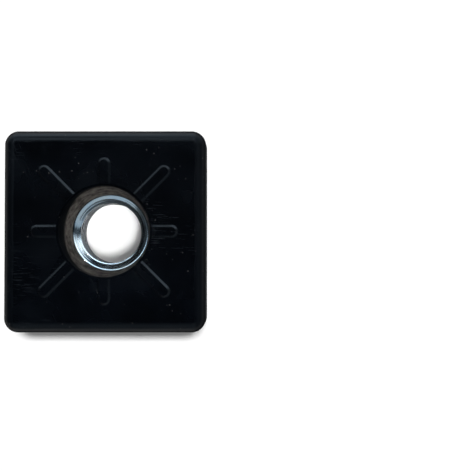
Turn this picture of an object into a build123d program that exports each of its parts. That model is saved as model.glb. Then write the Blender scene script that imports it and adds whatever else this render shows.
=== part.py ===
from build123d import *
import os
from math import radians, tan

os.makedirs("parts", exist_ok=True)

# Square tube that the insert closes
tube_outside = 45.0
tube_wall = 1.5
tube_bore = tube_outside - 2 * tube_wall

# Head, flush with the outside of the tube
head_thickness = 10.6
head_corner_radius = 3.2
face_edge_radius = 2.6

# Raised ribs on the face, round the hole
face_rib_height = 0.5
face_rib_width = 2.9
face_rib_slope = 45.0
straight_rib_reach = 16.4
corner_rib_reach = 20.2

# Body that goes into the tube
body_length = 20.5
body_width = 36.6
body_corner_radius = 0.3

# Barbs: each ramps outwards from the open end and is undercut towards the head
barb_count = 3
barb_pitch = 5.0
first_barb_level = 5.5
barb_ramp = 3.0
barb_undercut = 1.4
barb_squeeze = 0.3
lead_barb_relief = 0.6
barb_flat_half = 9.5
mould_step = 0.4

# Steel nut
thread_diameter = 16.0
thread_pitch = 2.0
nut_width = 24.0
nut_height = 10.0
nut_corner_radius = 2.4
nut_countersink_diameter = 17.6
nut_countersink_angle = 120.0
nut_face_diameter = 22.8
nut_corner_slope = 30.0

# Pocket for the nut and hole for the screw
pocket_clearance = 0.05
pocket_corner_radius = 2.0
pocket_lead_in = 0.4
screw_clearance = 0.9
hole_flare = 1.3
hole_edge_chamfer = 0.4
lip_thickness = 11.5

# Two shallow breaks in the back rim, beside the corners of the pocket
rim_break_width = 2.8
rim_break_depth = 0.9

# Levels, counted from the open end that the insert stands on
face_level = body_length + head_thickness
rib_level = face_level + face_rib_height
nut_top_level = face_level - lip_thickness
nut_bottom_level = nut_top_level - nut_height

# Widths that follow from the tube and the nut
barb_tip_half = tube_bore / 2 + barb_squeeze
pocket_width = nut_width + 2 * pocket_clearance
lip_radius = thread_diameter / 2 + screw_clearance
mouth_radius = lip_radius + hole_flare
edge_radius = mouth_radius + hole_edge_chamfer
rib_start = mouth_radius - face_rib_width

# The hole drilled for a metric thread is smaller than the thread by its pitch
drilled_radius = (thread_diameter - thread_pitch) / 2
countersink_radius = nut_countersink_diameter / 2
countersink_run = countersink_radius - drilled_radius
countersink_depth = countersink_run / tan(radians(nut_countersink_angle / 2))

# Black plastic moulding
with BuildPart() as plug_body:
    # Square body
    with BuildSketch():
        RectangleRounded(body_width, body_width, body_corner_radius)
    extrude(amount=body_length)

    # Barbs, one mould half on each side of x = 0
    for barb in range(barb_count):
        tip_level = first_barb_level + barb * barb_pitch
        reach = barb_tip_half - (lead_barb_relief if barb == 0 else 0)
        for side, tip_half in ((Align.MAX, reach), (Align.MIN, reach - mould_step)):
            for foot_level in (tip_level - barb_ramp, tip_level + barb_undercut):
                for level, half in ((foot_level, body_width / 2), (tip_level, tip_half)):
                    with BuildSketch(Plane.XY.offset(level)):
                        RectangleRounded(2 * half, 2 * half, half - barb_flat_half)
                        Rectangle(half, 2 * half, align=(side, Align.CENTER), mode=Mode.INTERSECT)
                loft()

    # Head
    with BuildSketch(Plane.XY.offset(body_length)):
        RectangleRounded(tube_outside, tube_outside, head_corner_radius)
    extrude(amount=head_thickness)
    fillet(plug_body.faces().sort_by(Axis.Z)[-1].edges(), face_edge_radius)

    # Ribs with sloped sides on the face, the long ones towards the corners
    for reach, first_angle in ((straight_rib_reach, 0), (corner_rib_reach, 45)):
        with BuildSketch(Plane.XY.offset(face_level)):
            with PolarLocations((rib_start + reach) / 2, 4, start_angle=first_angle):
                SlotOverall(reach - rib_start, face_rib_width)
        extrude(amount=face_rib_height, taper=face_rib_slope)

    # Flared hole for the screw, down to the lip that the nut bears on
    with BuildSketch(Plane.XZ):
        with BuildLine():
            Polyline(
                (0, nut_top_level),
                (lip_radius, nut_top_level),
                (mouth_radius, face_level - hole_edge_chamfer),
                (edge_radius, face_level),
                (edge_radius, rib_level),
                (0, rib_level),
                close=True,
            )
        make_face()
    revolve(axis=Axis.Z, mode=Mode.SUBTRACT)

    # Square pocket from the open end up to the lip
    with BuildSketch():
        RectangleRounded(pocket_width, pocket_width, pocket_corner_radius)
    extrude(amount=nut_top_level, mode=Mode.SUBTRACT)
    chamfer(
        plug_body.faces().sort_by(Axis.Z)[0].inner_wires()[0].edges(),
        pocket_lead_in,
    )

    # Breaks in the back rim
    with BuildSketch():
        with Locations((0, (body_width + pocket_width) / 4)):
            with GridLocations(pocket_width - rim_break_width, 0, 2, 1):
                Rectangle(rim_break_width, body_width - pocket_width)
    extrude(amount=rim_break_depth, mode=Mode.SUBTRACT)

# Steel nut, pressed up against the lip
with BuildPart() as square_nut:
    with BuildSketch(Plane.XY.offset(nut_bottom_level)):
        RectangleRounded(nut_width, nut_width, nut_corner_radius)
    extrude(amount=nut_height)

    # Corners turned down on the side towards the open end
    slope_run = nut_width - nut_face_diameter / 2
    slope_end_level = nut_bottom_level + slope_run * tan(radians(nut_corner_slope))
    with BuildSketch(Plane.XZ):
        with BuildLine():
            Polyline(
                (0, nut_bottom_level),
                (nut_face_diameter / 2, nut_bottom_level),
                (nut_width, slope_end_level),
                (nut_width, nut_top_level),
                (0, nut_top_level),
                close=True,
            )
        make_face()
    revolve(axis=Axis.Z, mode=Mode.INTERSECT)

    # Bore at the size drilled for the thread, countersunk at both ends
    with BuildSketch(Plane.XZ):
        with BuildLine():
            Polyline(
                (0, nut_bottom_level),
                (countersink_radius, nut_bottom_level),
                (drilled_radius, nut_bottom_level + countersink_depth),
                (drilled_radius, nut_top_level - countersink_depth),
                (countersink_radius, nut_top_level),
                (0, nut_top_level),
                close=True,
            )
        make_face()
    revolve(axis=Axis.Z, mode=Mode.SUBTRACT)

plug_body.part.label = "plug_body"
square_nut.part.label = "square_nut"
export_step(plug_body.part, "parts/plug_body.step")
export_step(square_nut.part, "parts/square_nut.step")
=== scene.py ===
from math import pi, radians, tan

import bmesh
import bpy
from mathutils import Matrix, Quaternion, Vector


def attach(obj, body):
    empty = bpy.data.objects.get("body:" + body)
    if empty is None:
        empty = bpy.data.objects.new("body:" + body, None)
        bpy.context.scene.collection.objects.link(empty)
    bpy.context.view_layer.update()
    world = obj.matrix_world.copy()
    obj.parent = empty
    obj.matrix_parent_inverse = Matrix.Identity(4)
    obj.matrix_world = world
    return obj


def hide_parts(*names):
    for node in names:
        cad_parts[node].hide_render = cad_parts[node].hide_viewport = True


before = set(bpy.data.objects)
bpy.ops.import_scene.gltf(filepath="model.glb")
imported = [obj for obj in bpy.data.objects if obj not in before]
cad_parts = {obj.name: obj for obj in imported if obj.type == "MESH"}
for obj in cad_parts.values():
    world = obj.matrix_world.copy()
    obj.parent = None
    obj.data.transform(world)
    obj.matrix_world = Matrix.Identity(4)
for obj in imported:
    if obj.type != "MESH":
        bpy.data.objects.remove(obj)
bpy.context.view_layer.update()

scene = bpy.context.scene
mm = 0.001


# modelling helpers

def deselectAll():
    if bpy.context.object and bpy.context.object.mode != 'OBJECT':
        bpy.ops.object.mode_set(mode='OBJECT')
    bpy.ops.object.select_all(action='DESELECT')


def makeActive(piece):
    deselectAll()
    piece.select_set(True)
    bpy.context.view_layer.objects.active = piece


def applyPlace(piece):
    makeActive(piece)
    bpy.ops.object.transform_apply(location=True, rotation=True, scale=True)


def applyModifiers(piece):
    makeActive(piece)
    for modifier in list(piece.modifiers):
        bpy.ops.object.modifier_apply(modifier=modifier.name)


def selectEdges(piece, test):
    # picks edges in edit mode by the place of their two ends
    bpy.ops.mesh.select_all(action='DESELECT')
    bpy.ops.mesh.select_mode(type='EDGE')
    mesh = bmesh.from_edit_mesh(piece.data)
    for edge in mesh.edges:
        edge.select_set(bool(test(edge.verts[0].co, edge.verts[1].co)))
    bmesh.update_edit_mesh(piece.data)


def turnOutwards():
    # the whole mesh that is being edited faces outwards
    bpy.ops.mesh.select_all(action='SELECT')
    bpy.ops.mesh.normals_make_consistent(inside=False)


def mergeDoubles(distance):
    bpy.ops.mesh.select_mode(type='VERT')
    bpy.ops.mesh.select_all(action='SELECT')
    bpy.ops.mesh.remove_doubles(threshold=distance)


def cutWith(piece, tool, operation='DIFFERENCE'):
    modifier = piece.modifiers.new("cut", 'BOOLEAN')
    modifier.operation = operation
    modifier.solver = 'EXACT'
    modifier.object = tool
    applyModifiers(piece)
    bpy.data.objects.remove(tool, do_unlink=True)


# shader helpers

def newMaterial(name):
    material = bpy.data.materials.new(name)
    material.use_nodes = True
    tree = material.node_tree
    tree.nodes.clear()
    return material, tree


def showShader(tree, shader, kind='ShaderNodeOutputMaterial'):
    output = tree.nodes.new(kind)
    tree.links.new(shader.outputs[0], output.inputs["Surface"])


def mathNode(tree, operation, first, second=None, clamp=False):
    node = tree.nodes.new('ShaderNodeMath')
    node.operation = operation
    node.use_clamp = clamp
    for index, value in enumerate((first, second)):
        if value is None:
            continue
        if isinstance(value, (int, float)):
            node.inputs[index].default_value = value
        else:
            tree.links.new(value, node.inputs[index])
    return node.outputs[0]


def multiply(tree, first, *others):
    for other in others:
        first = mathNode(tree, 'MULTIPLY', first, other)
    return first


def add(tree, first, *others):
    for other in others:
        first = mathNode(tree, 'ADD', first, other)
    return first


def rangeNode(tree, value, low, high, start=0.0, end=1.0):
    # goes from start to end while the value goes from low to high
    node = tree.nodes.new('ShaderNodeMapRange')
    tree.links.new(value, node.inputs["Value"])
    node.inputs["From Min"].default_value = low
    node.inputs["From Max"].default_value = high
    node.inputs["To Min"].default_value = start
    node.inputs["To Max"].default_value = end
    return node.outputs["Result"]


def mixColour(tree, factor, first, second):
    node = tree.nodes.new('ShaderNodeMix')
    node.data_type = 'RGBA'
    # inputs 6 and 7 and output 2 are the node's colour ones
    for socket, value in ((node.inputs[0], factor), (node.inputs[6], first), (node.inputs[7], second)):
        if isinstance(value, tuple):
            socket.default_value = (*value, 1)
        else:
            tree.links.new(value, socket)
    return node.outputs[2]


def noiseNode(tree, vector, scale, detail=2.0, roughness=0.5):
    node = tree.nodes.new('ShaderNodeTexNoise')
    tree.links.new(vector, node.inputs["Vector"])
    node.inputs["Scale"].default_value = scale
    node.inputs["Detail"].default_value = detail
    node.inputs["Roughness"].default_value = roughness
    return node.outputs["Fac"]


def bumpNode(tree, height, strength, distance, normal=None):
    node = tree.nodes.new('ShaderNodeBump')
    node.inputs["Strength"].default_value = strength
    node.inputs["Distance"].default_value = distance
    tree.links.new(height, node.inputs["Height"])
    if normal:
        tree.links.new(normal, node.inputs["Normal"])
    return node.outputs[0]


def placeNodes(tree, kind="Object"):
    # the shaded point, or in the world the ray's direction, and then its x, y and z
    places = tree.nodes.new('ShaderNodeTexCoord').outputs[kind]
    split = tree.nodes.new('ShaderNodeSeparateXYZ')
    tree.links.new(places, split.inputs[0])
    return places, *split.outputs


def radiusNode(tree, x, y):
    # distance from the bore's axis
    return mathNode(tree, 'SQRT', add(tree, multiply(tree, x, x), multiply(tree, y, y)))


def rayNodes(tree):
    # camera rays, and mirror rays with those that go through glass
    path = tree.nodes.new('ShaderNodeLightPath')
    mirror = mathNode(tree, 'MAXIMUM', path.outputs["Is Glossy Ray"], path.outputs["Is Transmission Ray"])
    return path.outputs["Is Camera Ray"], mirror


# camera, looking almost straight down from a place to the right of the insert

cameraFacts = {
    "place": (0.02899, -0.00602, 0.2446),
    "pitch": 1.4,
    "lens": 74.0,
    "sensor": 36.0,
    "near": 0.01,
    "far": 20.0,
}


def addCamera(facts):
    data = bpy.data.cameras.new("camera")
    data.lens = facts["lens"]
    data.sensor_width = facts["sensor"]
    data.clip_start = facts["near"]
    data.clip_end = facts["far"]
    camera = bpy.data.objects.new("camera", data)
    camera.location = facts["place"]
    camera.rotation_euler = (radians(facts["pitch"]), 0, 0)
    scene.collection.objects.link(camera)
    scene.camera = camera


addCamera(cameraFacts)
print("camera placed")


# nut, with the thread that the CAD model leaves out

nutFacts = {
    "width": 24.0 * mm,
    "bottom": 9.6 * mm,
    "top": 19.6 * mm,
    "cornerRadius": 2.4 * mm,
    "cornerSegments": 8,
    "faceRadius": 11.4 * mm,       # where the corners start to turn down, at the open end
    "faceSlope": 30.0,
    "faceSteps": 128,
    "boreRadius": 7.0 * mm,
    "countersinkRadius": 8.7 * mm,
    "countersinkAngle": 123.0,
    "footWidth": 0.37 * mm,        # flatter foot of the upper countersink
    "footTilt": 18.0,
    "footFlat": 0.82,              # share of the foot that is quite straight
    "footTurn": 0.07 * mm,         # width of the turn from the foot into the countersink
    "spare": 1.0 * mm,             # how far the turned tools stand out of the nut
    "steps": 96,                   # round the bore and in each turn of the thread
    "threadRadius": 8.0 * mm,
    "pitch": 2.0 * mm,
    "threadPhase": 0.57,           # turns the place where the thread comes out of the bore
    "threadEnd": 1.5,              # turns above the nut
    "threadInside": 0.5 * mm,      # how far the tool reaches into the open bore
    "edgeSoftness": 0.15 * mm,
    "edgeSegments": 3,
    "edgeAngle": 24.0,
    "smoothAngle": 28.0,
    "toolMerge": 0.001 * mm,
    "nutMerge": 0.002 * mm,
}


def makeNutBlank(facts):
    width, bottom = facts["width"], facts["bottom"]
    height = facts["top"] - bottom
    middle = (facts["top"] + bottom) / 2
    deselectAll()
    bpy.ops.mesh.primitive_cube_add(size=1, location=(0, 0, middle), scale=(width, width, height))
    blank = bpy.context.object
    blank.name = "threaded_nut"
    applyPlace(blank)
    bpy.ops.object.mode_set(mode='EDIT')
    selectEdges(blank, lambda a, b: abs(a.z - b.z) > height / 2)
    bpy.ops.mesh.bevel(offset=facts["cornerRadius"], offset_type='OFFSET', segments=facts["cornerSegments"])
    bpy.ops.object.mode_set(mode='OBJECT')

    # corners turned down towards the open end
    reach = height + 2 * facts["spare"]
    bpy.ops.object.select_all(action='DESELECT')
    bpy.ops.mesh.primitive_cone_add(
        vertices=facts["faceSteps"],
        radius1=facts["faceRadius"],
        radius2=facts["faceRadius"] + reach / tan(radians(facts["faceSlope"])),
        depth=reach,
        location=(0, 0, bottom + reach / 2),
    )
    cone = bpy.context.object
    applyPlace(cone)
    cutWith(blank, cone, 'INTERSECT')
    return blank


def makeBoreTool(facts):
    # turned shape: countersink, bore, foot, countersink
    bore, foot, spare = facts["boreRadius"], facts["footWidth"], facts["spare"]
    coneRun = tan(radians(facts["countersinkAngle"] / 2))
    depth = (facts["countersinkRadius"] - bore) / coneRun
    endRadius = facts["countersinkRadius"] + spare * coneRun
    footSlope = tan(radians(facts["footTilt"]))
    footTop = facts["top"] - depth + foot / coneRun
    footBottom = footTop - foot * footSlope
    flat, turn = facts["footFlat"] * foot, facts["footTurn"]
    rings = (
        (facts["bottom"] - spare, endRadius),
        (facts["bottom"] + depth, bore),
        (footBottom, bore),
        (footBottom + flat * footSlope, bore + flat),
        (footTop, bore + foot),
        (footTop + turn / coneRun, bore + foot + turn),
        (facts["top"] + spare, endRadius),
    )
    deselectAll()
    level, radius = rings[0]
    bpy.ops.mesh.primitive_circle_add(
        vertices=facts["steps"],
        radius=radius,
        fill_type='NGON',
        location=(0, 0, level),
    )
    tool = bpy.context.object
    applyPlace(tool)
    bpy.ops.object.mode_set(mode='EDIT')
    bpy.ops.mesh.select_all(action='SELECT')
    for nextLevel, nextRadius in rings[1:]:
        bpy.ops.mesh.extrude_region_move(TRANSFORM_OT_translate={"value": (0, 0, nextLevel - level)})
        ratio = nextRadius / radius
        bpy.ops.transform.resize(value=(ratio, ratio, 1), center_override=(0, 0, nextLevel))
        level, radius = nextLevel, nextRadius
    turnOutwards()
    bpy.ops.object.mode_set(mode='OBJECT')
    return tool


def makeThreadTool(facts):
    # metric groove, 3/4 of the pitch wide at the bore and 1/8 at its root, carried round by Screw
    pitch, bore, root = facts["pitch"], facts["boreRadius"], facts["threadRadius"]
    boreHalf = 3 / 8 * pitch
    rootHalf = 1 / 16 * pitch
    inner = bore - facts["threadInside"]
    start = facts["bottom"] - (1 + facts["threadPhase"]) * pitch
    end = facts["top"] + facts["threadEnd"] * pitch
    section = (
        (inner, -boreHalf),
        (bore, -boreHalf),
        (root, -rootHalf),
        (root, rootHalf),
        (bore, boreHalf),
        (inner, boreHalf),
    )
    deselectAll()
    bpy.ops.mesh.primitive_circle_add(vertices=len(section), radius=bore, fill_type='NOTHING')
    tool = bpy.context.object
    for vertex, (radius, rise) in zip(tool.data.vertices, section):
        vertex.co = (radius, 0, start + rise)
    turns = (end - start) / pitch
    screw = tool.modifiers.new("coil", 'SCREW')
    screw.axis = 'Z'
    screw.angle = 2 * pi * turns
    screw.screw_offset = end - start
    screw.iterations = 1
    screw.steps = round(turns * facts["steps"])
    screw.render_steps = screw.steps
    screw.use_merge_vertices = False
    applyModifiers(tool)
    bpy.ops.object.mode_set(mode='EDIT')
    mergeDoubles(facts["toolMerge"])
    bpy.ops.mesh.select_all(action='SELECT')
    bpy.ops.mesh.fill_holes(sides=len(section))
    turnOutwards()
    bpy.ops.object.mode_set(mode='OBJECT')
    return tool


def makeNut(facts):
    piece = makeNutBlank(facts)
    cutWith(piece, makeBoreTool(facts))
    edges = piece.modifiers.new("softEdges", 'BEVEL')
    edges.width = facts["edgeSoftness"]
    edges.segments = facts["edgeSegments"]
    edges.limit_method = 'ANGLE'
    edges.angle_limit = radians(facts["edgeAngle"])
    applyModifiers(piece)
    cutWith(piece, makeThreadTool(facts))
    makeActive(piece)
    bpy.ops.object.mode_set(mode='EDIT')
    mergeDoubles(facts["nutMerge"])
    turnOutwards()
    bpy.ops.object.mode_set(mode='OBJECT')
    bpy.ops.object.shade_smooth_by_angle(angle=radians(facts["smoothAngle"]))
    return piece


nut = makeNut(nutFacts)
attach(nut, "root")
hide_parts("square_nut")
print("nut made", len(nut.data.polygons), "faces")


# effects that both materials use

scratchFacts = {
    "stretch": (0.09, 1.0, 1.0),
    "detail": 4,
    "roughness": 0.6,
    "lines": (0.57, 0.66),
    "patchDetail": 1,
    "patches": (0.52, 0.68),
}
grainFacts = {
    "fineDetail": 3,
    "broadDetail": 2,
}


def newGroup(name, **sockets):
    group = bpy.data.node_groups.new(name, 'ShaderNodeTree')
    for socket, (side, kind) in sockets.items():
        group.interface.new_socket(socket, in_out=side, socket_type=kind)
    return group, group.nodes.new('NodeGroupInput').outputs, group.nodes.new('NodeGroupOutput').inputs


def makeScratchGroup(facts):
    # fine drawn-out scratches that come and go in patches
    group, inputs, outputs = newGroup(
        "handlingScratches",
        Vector=('INPUT', 'NodeSocketVector'),
        Turn=('INPUT', 'NodeSocketVector'),
        Scale=('INPUT', 'NodeSocketFloat'),
        Patches=('INPUT', 'NodeSocketFloat'),
        Mask=('OUTPUT', 'NodeSocketFloat'),
    )
    turn = group.nodes.new('ShaderNodeMapping')
    group.links.new(inputs["Vector"], turn.inputs["Vector"])
    group.links.new(inputs["Turn"], turn.inputs["Rotation"])
    stretch = group.nodes.new('ShaderNodeMapping')
    stretch.inputs["Scale"].default_value = facts["stretch"]
    group.links.new(turn.outputs[0], stretch.inputs["Vector"])
    streaks = group.nodes.new('ShaderNodeTexNoise')
    streaks.inputs["Detail"].default_value = facts["detail"]
    streaks.inputs["Roughness"].default_value = facts["roughness"]
    group.links.new(stretch.outputs[0], streaks.inputs["Vector"])
    group.links.new(inputs["Scale"], streaks.inputs["Scale"])
    lines = rangeNode(group, streaks.outputs["Fac"], *facts["lines"])
    patches = group.nodes.new('ShaderNodeTexNoise')
    patches.inputs["Detail"].default_value = facts["patchDetail"]
    group.links.new(turn.outputs[0], patches.inputs["Vector"])
    group.links.new(inputs["Patches"], patches.inputs["Scale"])
    cover = rangeNode(group, patches.outputs["Fac"], *facts["patches"])
    group.links.new(multiply(group, lines, cover), outputs["Mask"])
    return group


def makeGrainGroup(facts):
    # uneven fine grain, as on a moulded or plated surface, and broad clouds
    group, inputs, outputs = newGroup(
        "surfaceGrain",
        Vector=('INPUT', 'NodeSocketVector'),
        Fine=('INPUT', 'NodeSocketFloat'),
        Broad=('INPUT', 'NodeSocketFloat'),
        Grain=('OUTPUT', 'NodeSocketFloat'),
        Cloud=('OUTPUT', 'NodeSocketFloat'),
    )
    for scale, detail, mask in (("Fine", "fineDetail", "Grain"), ("Broad", "broadDetail", "Cloud")):
        noise = group.nodes.new('ShaderNodeTexNoise')
        noise.inputs["Detail"].default_value = facts[detail]
        group.links.new(inputs["Vector"], noise.inputs["Vector"])
        group.links.new(inputs[scale], noise.inputs["Scale"])
        group.links.new(noise.outputs["Fac"], outputs[mask])
    return group


scratchGroup = makeScratchGroup(scratchFacts)
grainGroup = makeGrainGroup(grainFacts)


def useGroup(tree, group, vector, values):
    node = tree.nodes.new('ShaderNodeGroup')
    node.node_tree = group
    tree.links.new(vector, node.inputs["Vector"])
    for key, value in values.items():
        node.inputs[key].default_value = value
    return node.outputs


# black plastic

# a pair of numbers is where a fade starts and ends, and two more are its values there
plasticFacts = {
    "colour": (0.0005, 0.0008, 0.0014),
    "paler": 1.6,                  # the clouds in it are that much paler
    "cloudTone": (0.3, 0.7),
    "roughness": 0.25,
    "cloudRough": (0.25, 0.75),
    "roughDown": 0.05,
    "roughUp": 0.07,
    "refraction": 1.42,
    "grain": {"Fine": 2600.0, "Broad": 110.0},
    "grainHeight": 0.5,
    "bumpStrength": 0.35,
    "bumpDepth": 0.03 * mm,
    # scratches and specks
    "scratchAcross": {"Turn": (0, 0, 0.04), "Scale": 3400.0, "Patches": 85.0},
    "scratchDown": {"Turn": (0, 0, 1.15), "Scale": 2300.0, "Patches": 75.0},
    "downShare": 0.4,
    "scratchTone": 0.16,
    "scratchColour": (0.036, 0.042, 0.050),
    "scratchRough": 0.12,
    "scratchHeight": -0.5,
    "speckScale": 760.0,
    "speckEdge": (0.16, 0.08),
    "speckNoise": (260.0, 1),
    "speckPatch": (0.55, 0.60),
    "speckTone": 0.6,
    "speckColour": (0.050, 0.050, 0.050),
    "speckHeight": 0.8,
    # painted light on the wall of the screw hole: pale brown-grey, as if lit
    "holeLitColour": (0.215, 0.197, 0.178),
    "holeLitWall": (10.25 * mm, 9.90 * mm),
    "holeLitBottom": (19.4 * mm, 19.6 * mm),
    "holeLitTop": (31.0 * mm, 29.4 * mm),
    "holeLitSag": 48.0,               # how fast its top drops to the left and right
    "holeLitPatches": (0.38, 0.62, 0.30, 1.0),
    "holeLitNoise": (520.0, 5, 0.65),
    # how glossy each region is
    "shine": 0.25,
    "dullShine": 0.08,
    "dullRough": 0.40,
    "holeShine": 0.03,
    "holeEdge": (10.65 * mm, 10.62 * mm),
    "sideEdge": (30.3 * mm, 29.8 * mm),
    "bodyShine": 0.15,
    "bodyEdge": (20.55 * mm, 20.45 * mm),
    "roundingEdge": (19.9 * mm, 20.5 * mm),
    "roundingRough": 0.10,
    "handledShine": 0.5,
    # barb tips
    "barbLevel": 5.5 * mm,
    "barbPitch": 5.0 * mm,
    "tipEdge": (0.45 * mm, 0.12 * mm),
    "tipReach": (20.0 * mm, 20.4 * mm),
    "tipNoise": (900.0, 3, 0.6),
    "tipPatch": (0.46, 0.62),
    "tipHalves": (-1 * mm, 3 * mm, 0.35, 1.0),
    "tipTone": 0.7,
    "tipColour": (0.060, 0.063, 0.068),
    "tipHeight": 2.0,
    # drag marks and parting line
    "dragStretch": (0.12, 0.12, 1.0),
    "dragNoise": (2600.0, 3, 0.6),
    "dragHalves": (-0.1 * mm, 0.1 * mm, 0.5, 1.8),
    "dragHeight": 1.5,
    "partingEdge": (0.10 * mm, 0.04 * mm),
}


def plasticScuffs(tree, places, facts):
    # scratches in two directions, and specks
    across = useGroup(tree, scratchGroup, places, facts["scratchAcross"])["Mask"]
    down = useGroup(tree, scratchGroup, places, facts["scratchDown"])["Mask"]
    scratches = mathNode(tree, 'MAXIMUM', across, multiply(tree, down, facts["downShare"]))
    cells = tree.nodes.new('ShaderNodeTexVoronoi')
    cells.inputs["Scale"].default_value = facts["speckScale"]
    tree.links.new(places, cells.inputs["Vector"])
    dots = rangeNode(tree, cells.outputs["Distance"], *facts["speckEdge"])
    rare = rangeNode(tree, noiseNode(tree, places, *facts["speckNoise"]), *facts["speckPatch"])
    return scratches, multiply(tree, dots, rare)


def paintedHoleLight(tree, places, x, z, radius, facts):
    # painted light on the wall of the screw hole, pale brown-grey as if lit; it reaches less high on the left
    # and right walls, which stay dark as if in shade
    sagging = add(tree, z, multiply(tree, x, x, facts["holeLitSag"]))
    inside = multiply(
        tree,
        rangeNode(tree, radius, *facts["holeLitWall"]),
        rangeNode(tree, z, *facts["holeLitBottom"]),
        rangeNode(tree, sagging, *facts["holeLitTop"]),
    )
    litPatches = rangeNode(tree, noiseNode(tree, places, *facts["holeLitNoise"]), *facts["holeLitPatches"])
    return multiply(tree, inside, litPatches)


def plasticShine(tree, fromMiddle, inHole, dull, onBody, facts):
    shine = rangeNode(tree, dull, 0.0, 1.0, facts["shine"], facts["dullShine"])
    holeTimes = rangeNode(tree, inHole, 0.0, 1.0, 1.0, facts["holeShine"] / facts["dullShine"])
    # the roundings to the left and right are duller from handling
    handled = rangeNode(tree, fromMiddle, *facts["roundingEdge"])
    handledTimes = rangeNode(tree, handled, 0.0, 1.0, 1.0, facts["handledShine"])
    shine = multiply(tree, shine, holeTimes, handledTimes)
    return mathNode(tree, 'MAXIMUM', shine, multiply(tree, onBody, facts["bodyShine"]))


def rubbedTips(tree, places, x, z, reach, onBody, facts):
    # rubbed, slightly ragged tips of the barbs, worse on the mould half at +X
    halfPitch = facts["barbPitch"] / 2
    fromTip = mathNode(tree, 'SUBTRACT', z, facts["barbLevel"] - halfPitch)
    fromTip = mathNode(tree, 'MODULO', fromTip, facts["barbPitch"])
    fromTip = mathNode(tree, 'ABSOLUTE', mathNode(tree, 'SUBTRACT', fromTip, halfPitch))
    atTip = multiply(
        tree,
        rangeNode(tree, fromTip, *facts["tipEdge"]),
        rangeNode(tree, reach, *facts["tipReach"]),
        onBody,
    )
    patches = rangeNode(tree, noiseNode(tree, places, *facts["tipNoise"]), *facts["tipPatch"])
    return multiply(tree, patches, rangeNode(tree, x, *facts["tipHalves"]), atTip)


def mouldMarks(tree, places, x, fromMiddle, onBody, facts):
    # drag marks left by the mould, and the parting line of its two halves
    flat = tree.nodes.new('ShaderNodeMapping')
    flat.inputs["Scale"].default_value = facts["dragStretch"]
    tree.links.new(places, flat.inputs["Vector"])
    streaks = noiseNode(tree, flat.outputs[0], *facts["dragNoise"])
    drag = multiply(tree, streaks, onBody, rangeNode(tree, x, *facts["dragHalves"]))
    parting = multiply(tree, rangeNode(tree, fromMiddle, *facts["partingEdge"]), onBody)
    return drag, parting


def makePlastic(facts):
    material, tree = newMaterial("blackPlastic")
    places, x, y, z = placeNodes(tree)
    radius = radiusNode(tree, x, y)
    fromMiddle = mathNode(tree, 'ABSOLUTE', x)
    reach = mathNode(tree, 'MAXIMUM', fromMiddle, mathNode(tree, 'ABSOLUTE', y))

    # the sides, scuffed by tubes, and the hole are duller than the face
    inHole = rangeNode(tree, radius, *facts["holeEdge"])
    dull = mathNode(tree, 'MAXIMUM', inHole, rangeNode(tree, z, *facts["sideEdge"]))
    onBody = rangeNode(tree, z, *facts["bodyEdge"])

    grain = useGroup(tree, grainGroup, places, facts["grain"])
    cloud = grain["Cloud"]
    scratches, specks = plasticScuffs(tree, places, facts)
    holeLight = paintedHoleLight(tree, places, x, z, radius, facts)
    rubbed = rubbedTips(tree, places, x, z, reach, onBody, facts)
    drag, parting = mouldMarks(tree, places, x, fromMiddle, onBody, facts)
    shine = plasticShine(tree, fromMiddle, inHole, dull, onBody, facts)

    palePlastic = tuple(facts["paler"] * value for value in facts["colour"])
    tone = mixColour(tree, rangeNode(tree, cloud, *facts["cloudTone"]), facts["colour"], palePlastic)
    tone = mixColour(tree, multiply(tree, scratches, facts["scratchTone"]), tone, facts["scratchColour"])
    tone = mixColour(tree, multiply(tree, specks, facts["speckTone"]), tone, facts["speckColour"])
    tone = mixColour(tree, multiply(tree, rubbed, facts["tipTone"]), tone, facts["tipColour"])
    # painted light on the hole wall, pale brown-grey as if lit
    tone = mixColour(tree, holeLight, tone, facts["holeLitColour"])

    low, high = facts["roughness"] - facts["roughDown"], facts["roughness"] + facts["roughUp"]
    rough = add(
        tree,
        rangeNode(tree, cloud, *facts["cloudRough"], low, high),
        multiply(tree, scratches, facts["scratchRough"]),
        multiply(tree, rangeNode(tree, reach, *facts["roundingEdge"]), facts["roundingRough"]),
    )
    rough = mathNode(tree, 'ADD', rough, multiply(tree, dull, facts["dullRough"]), clamp=True)

    height = add(
        tree,
        multiply(tree, grain["Grain"], facts["grainHeight"]),
        multiply(tree, scratches, facts["scratchHeight"]),
        multiply(tree, specks, facts["speckHeight"]),
        multiply(tree, drag, facts["dragHeight"]),
        multiply(tree, add(tree, rubbed, parting), facts["tipHeight"]),
    )

    shader = tree.nodes.new('ShaderNodeBsdfPrincipled')
    shader.inputs["IOR"].default_value = facts["refraction"]
    tree.links.new(shine, shader.inputs["Specular IOR Level"])
    tree.links.new(tone, shader.inputs["Base Color"])
    tree.links.new(rough, shader.inputs["Roughness"])
    tree.links.new(bumpNode(tree, height, facts["bumpStrength"], facts["bumpDepth"]), shader.inputs["Normal"])
    showShader(tree, shader)
    return material


plastic = makePlastic(plasticFacts)
plugBody = bpy.data.objects["plug_body"]
for slot in plugBody.material_slots:
    slot.material = plastic
print("plastic made")


# zinc plate

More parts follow.
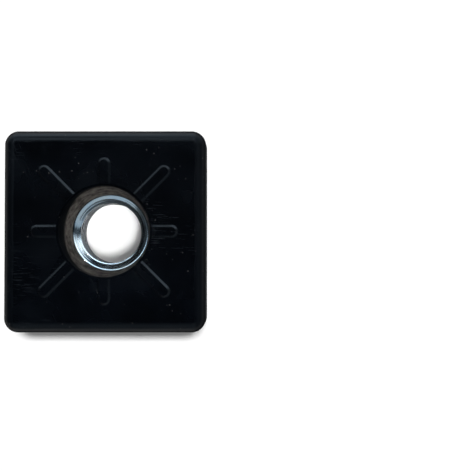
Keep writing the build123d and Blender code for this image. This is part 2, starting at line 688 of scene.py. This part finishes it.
zincFacts = {
    "colour": (0.50, 0.575, 0.63),
    "warmColour": (0.60, 0.60, 0.57),
    "cloudTone": (0.35, 0.7),
    "roughness": 0.13,
    "cloudRough": (0.25, 0.75),
    "roughDown": 0.05,
    "roughUp": 0.08,
    "grain": {"Fine": 3200.0, "Broad": 160.0},
    "scratch": {"Turn": (0, 0, 0.7), "Scale": 2600.0, "Patches": 90.0},
    "scratchTone": 0.5,
    "scratchColour": (0.36, 0.38, 0.40),
    "scratchRough": 0.15,
    # painted shade down in the thread: a darker colour there, and a rougher plate
    "threadShadeColour": (0.26, 0.29, 0.31),
    "threadRough": 0.15,
    "threadWall": (8.15 * mm, 8.05 * mm),
    "threadTop": (18.65 * mm, 18.35 * mm),
    "threadBottom": (10.55 * mm, 10.85 * mm),
    # fine rings all over, soft edges and faint turning lines on the upper cone
    "ringScale": 1100.0,
    "ringDistortion": 1.5,
    "ringDetail": 2,
    "ringHeight": 0.6,
    "grainHeight": 0.4,
    "bumpStrength": 0.25,
    "bumpDepth": 0.01 * mm,
    "edgeSoftness": 0.06 * mm,
    "turningPitch": 0.46 * mm,
    "turningDepth": 0.0045 * mm,
    "turningNoise": (300.0, 2),
    "turningEdge": (18.1 * mm, 18.3 * mm),
}


def turningRings(tree, places, facts):
    # rings round the bore's axis, slightly uneven
    rings = tree.nodes.new('ShaderNodeTexWave')
    rings.wave_type = 'RINGS'
    rings.rings_direction = 'Z'
    rings.inputs["Scale"].default_value = facts["ringScale"]
    rings.inputs["Distortion"].default_value = facts["ringDistortion"]
    rings.inputs["Detail"].default_value = facts["ringDetail"]
    rings.inputs["Detail Scale"].default_value = facts["ringDetail"]
    tree.links.new(places, rings.inputs["Vector"])
    return rings.outputs["Fac"]


def turnedCone(tree, places, z, radius, facts):
    # soft edges, with the turning lines of the cone on top of them
    softEdge = tree.nodes.new('ShaderNodeBevel')
    softEdge.inputs["Radius"].default_value = facts["edgeSoftness"]
    lines = mathNode(tree, 'SINE', multiply(tree, radius, 2 * pi / facts["turningPitch"]))
    uneven = noiseNode(tree, places, *facts["turningNoise"])
    turned = multiply(tree, lines, uneven, rangeNode(tree, z, *facts["turningEdge"]))
    return bumpNode(tree, turned, 1.0, facts["turningDepth"], softEdge.outputs[0])


def makeZinc(facts):
    material, tree = newMaterial("zincPlate")
    places, x, y, z = placeNodes(tree)
    radius = radiusNode(tree, x, y)
    grain = useGroup(tree, grainGroup, places, facts["grain"])
    cloud = grain["Cloud"]
    scratches = useGroup(tree, scratchGroup, places, facts["scratch"])["Mask"]
    inThread = multiply(
        tree,
        rangeNode(tree, radius, *facts["threadWall"]),
        rangeNode(tree, z, *facts["threadTop"]),
        rangeNode(tree, z, *facts["threadBottom"]),
    )

    tone = mixColour(tree, rangeNode(tree, cloud, *facts["cloudTone"]), facts["colour"], facts["warmColour"])
    tone = mixColour(tree, multiply(tree, scratches, facts["scratchTone"]), tone, facts["scratchColour"])
    # painted shade: a darker colour down in the thread
    tone = mixColour(tree, inThread, tone, facts["threadShadeColour"])

    low, high = facts["roughness"] - facts["roughDown"], facts["roughness"] + facts["roughUp"]
    rough = rangeNode(tree, cloud, *facts["cloudRough"], low, high)
    rough = add(tree, rough, multiply(tree, scratches, facts["scratchRough"]))
    rough = mathNode(tree, 'ADD', rough, multiply(tree, inThread, facts["threadRough"]), clamp=True)

    height = add(
        tree,
        multiply(tree, turningRings(tree, places, facts), facts["ringHeight"]),
        multiply(tree, grain["Grain"], facts["grainHeight"]),
    )
    normal = turnedCone(tree, places, z, radius, facts)
    normal = bumpNode(tree, height, facts["bumpStrength"], facts["bumpDepth"], normal)

    shader = tree.nodes.new('ShaderNodeBsdfPrincipled')
    shader.inputs["Metallic"].default_value = 1.0
    tree.links.new(tone, shader.inputs["Base Color"])
    tree.links.new(rough, shader.inputs["Roughness"])
    tree.links.new(normal, shader.inputs["Normal"])
    showShader(tree, shader)
    return material


nut.data.materials.clear()
nut.data.materials.append(makeZinc(zincFacts))
print("zinc made")


# pale table, which camera and mirror rays see a little brighter

floorFacts = {
    "size": 6.0,
    "level": -0.05 * mm,
    "colour": (0.80, 0.80, 0.80),
    "glow": 0.15,
    "farEdge": (0.18, 0.75),
    "farGlow": 0.85,
}


def makeFloor(facts):
    deselectAll()
    bpy.ops.mesh.primitive_plane_add(size=facts["size"], location=(0, 0, facts["level"]))
    floor = bpy.context.object
    floor.name = "floor"
    applyPlace(floor)
    material, tree = newMaterial("paleTable")
    diffuse = tree.nodes.new('ShaderNodeBsdfDiffuse')
    diffuse.inputs["Color"].default_value = (*facts["colour"], 1)
    x, y = placeNodes(tree)[1:3]
    radius = radiusNode(tree, x, y)
    cameraRay, mirrorRay = rayNodes(tree)
    near = multiply(tree, mathNode(tree, 'MAXIMUM', cameraRay, mirrorRay), facts["glow"])
    # further off, where the lamp's light runs out, the camera still sees white
    far = multiply(tree, rangeNode(tree, radius, *facts["farEdge"], 0.0, facts["farGlow"]), cameraRay)
    glow = tree.nodes.new('ShaderNodeEmission')
    tree.links.new(add(tree, near, far), glow.inputs["Strength"])
    both = tree.nodes.new('ShaderNodeAddShader')
    tree.links.new(diffuse.outputs[0], both.inputs[0])
    tree.links.new(glow.outputs[0], both.inputs[1])
    showShader(tree, both)
    floor.data.materials.append(material)


makeFloor(floorFacts)
print("floor made")


# world: camera rays see white, mirror rays a dark studio, and all others a dim fill

worldFacts = {
    "fill": 0.08,
    "mirrorTint": (0.66, 0.84, 1.0),
    # dim sides under a dark ceiling, with a gap towards the back
    "side": 0.14,
    "overhead": 0.012,
    "sideTop": (0.55, 0.80),
    "gapBack": (0.20, 0.45, 1.0, 0.12),
    "gapFoot": (0.40, 0.30),
    # bright wall at the back
    "back": 3.4,
    "backEdge": (0.35, 0.70),
    "backTop": (0.35, 0.46),
    # soft panel at the front
    "panel": 0.62,
    "panelSide": (0.26, -0.966),
    "panelEdge": (0.26, 0.32),
    "panelFoot": (0.38, 0.46),
    "panelTop": (0.92, 0.80),
    # low light from the right and the front, for the far sides of the ribs
    "lowSide": 0.55,
    "lowSideTurn": (0.5, -0.6),
    "lowSideEdge": (0.2, 0.6),
    "lowSideTop": (0.30, 0.20),
    # narrow bright strip above the wall at the back
    "strip": 3.2,
    "stripEdge": (0.05, 0.25),
    "stripFoot": (0.69, 0.74),
    "stripTop": (0.90, 0.84),
}


def towards(tree, x, y, side):
    # how far the direction points to that side
    return add(tree, multiply(tree, x, side[0]), multiply(tree, y, side[1]))


def mirroredStudio(tree, x, y, z, facts):
    gapBack = rangeNode(tree, y, *facts["gapBack"])
    gap = mathNode(tree, 'MAXIMUM', gapBack, rangeNode(tree, z, *facts["gapFoot"]))
    sides = multiply(tree, rangeNode(tree, z, *facts["sideTop"], facts["side"], facts["overhead"]), gap)
    back = multiply(
        tree,
        rangeNode(tree, y, *facts["backEdge"], 0.0, facts["back"]),
        rangeNode(tree, z, *facts["backTop"], 1.0, 0.0),
    )
    toPanel = towards(tree, x, y, facts["panelSide"])
    panel = multiply(
        tree,
        rangeNode(tree, toPanel, *facts["panelEdge"], 0.0, facts["panel"]),
        rangeNode(tree, z, *facts["panelFoot"]),
        rangeNode(tree, z, *facts["panelTop"]),
    )
    toLowSide = towards(tree, x, y, facts["lowSideTurn"])
    lowSide = multiply(
        tree,
        rangeNode(tree, toLowSide, *facts["lowSideEdge"], 0.0, facts["lowSide"]),
        rangeNode(tree, z, *facts["lowSideTop"]),
    )
    strip = multiply(
        tree,
        rangeNode(tree, y, *facts["stripEdge"], 0.0, facts["strip"]),
        rangeNode(tree, z, *facts["stripFoot"]),
        rangeNode(tree, z, *facts["stripTop"]),
    )
    return add(tree, sides, back, panel, lowSide, strip)


def makeWorld(facts):
    world = bpy.data.worlds.new("studio")
    scene.world = world
    world.use_nodes = True
    tree = world.node_tree
    tree.nodes.clear()
    x, y, z = placeNodes(tree, "Generated")[1:]
    cameraRay, mirrorRay = rayNodes(tree)
    others = mathNode(tree, 'SUBTRACT', 1.0, mathNode(tree, 'MAXIMUM', cameraRay, mirrorRay))
    strength = add(
        tree,
        cameraRay,
        multiply(tree, others, facts["fill"]),
        multiply(tree, mirrorRay, mirroredStudio(tree, x, y, z, facts)),
    )
    background = tree.nodes.new('ShaderNodeBackground')
    tree.links.new(mixColour(tree, mirrorRay, (1, 1, 1), facts["mirrorTint"]), background.inputs["Color"])
    tree.links.new(strength, background.inputs["Strength"])
    showShader(tree, background, 'ShaderNodeOutputWorld')


# lamps and a flag

keyFacts = {
    "name": "keyLight",
    "place": (0.150, 0.178, 1.60),
    "target": (0, 0, 0.02),
    "size": (0.20, 0.10),
    "turn": 40.1,                  # degrees about its own axis, which set it square to the table
    "power": 28.1,
    "colour": (1, 1, 1),
    "mirrored": False,
    "lighting": True,
}
glintCardFacts = {
    "name": "glintCard",
    "place": (0.39, 0.20, 0.36),
    "target": (0, 0, 0.02),
    "size": (0.24, 0.05),
    "turn": 0.0,
    "power": 0.15,
    "colour": (0.90, 0.96, 1.0),
    "mirrored": True,
    "lighting": False,
}
boreSpotFacts = {
    "name": "boreSpot",
    "place": (0.0240, -0.0176, 0.163),
    "target": (0, 0, 0.022),
    "power": 1.8,
    "cone": 9.0,
    "blend": 0.3,
    "radius": 0.0125,
    "mirrored": False,
}
ringSpotFacts = {
    "name": "ringSpot",
    "place": (0.18, 0.32, 0.75),
    "target": (0, 0, 0.024),
    "power": 12.0,
    "cone": 1.4,
    "blend": 0.15,
    "radius": 0.02,
    "mirrored": True,
}
flagFacts = {
    "halfSize": (0.0155, 0.0112),
    "height": 0.125,
    "steps": 64,
    "colour": (0.01, 0.01, 0.01),
}


def aimLamp(facts, data, turn=0.0):
    lamp = bpy.data.objects.new(facts["name"], data)
    lamp.location = facts["place"]
    aim = (Vector(facts["target"]) - Vector(facts["place"])).to_track_quat('-Z', 'Y')
    lamp.rotation_euler = (aim @ Quaternion((0, 0, 1), radians(turn))).to_euler()
    lamp.visible_glossy = facts["mirrored"]
    scene.collection.objects.link(lamp)
    return lamp


def addSoftbox(facts):
    data = bpy.data.lights.new(facts["name"], 'AREA')
    data.shape = 'RECTANGLE'
    data.size, data.size_y = facts["size"]
    data.energy = facts["power"]
    data.color = facts["colour"]
    lamp = aimLamp(facts, data, facts["turn"])
    lamp.visible_diffuse = facts["lighting"]


def addSpot(facts):
    data = bpy.data.lights.new(facts["name"], 'SPOT')
    data.energy = facts["power"]
    data.spot_size = radians(facts["cone"])
    data.spot_blend = facts["blend"]
    data.shadow_soft_size = facts["radius"]
    lamp = aimLamp(facts, data)
    lamp.visible_camera = False


def makeFlag(facts, lampFacts):
    # small black flag on the line from the lamp to its target, unseen itself
    target, lamp = Vector(lampFacts["target"]), Vector(lampFacts["place"])
    place = target.lerp(lamp, (facts["height"] - target.z) / (lamp.z - target.z))
    deselectAll()
    bpy.ops.mesh.primitive_circle_add(vertices=facts["steps"], radius=1, fill_type='NGON', location=place)
    flag = bpy.context.object
    flag.name = "flag"
    flag.scale = (*facts["halfSize"], 1)
    applyPlace(flag)
    material, tree = newMaterial("flagCloth")
    diffuse = tree.nodes.new('ShaderNodeBsdfDiffuse')
    diffuse.inputs["Color"].default_value = (*facts["colour"], 1)
    showShader(tree, diffuse)
    flag.data.materials.append(material)
    flag.visible_camera = False
    flag.visible_glossy = False
    flag.visible_diffuse = False


makeWorld(worldFacts)
addSoftbox(keyFacts)
addSoftbox(glintCardFacts)
addSpot(boreSpotFacts)
addSpot(ringSpotFacts)
makeFlag(flagFacts, keyFacts)
print("light set")


scene.view_settings.view_transform = 'Standard'
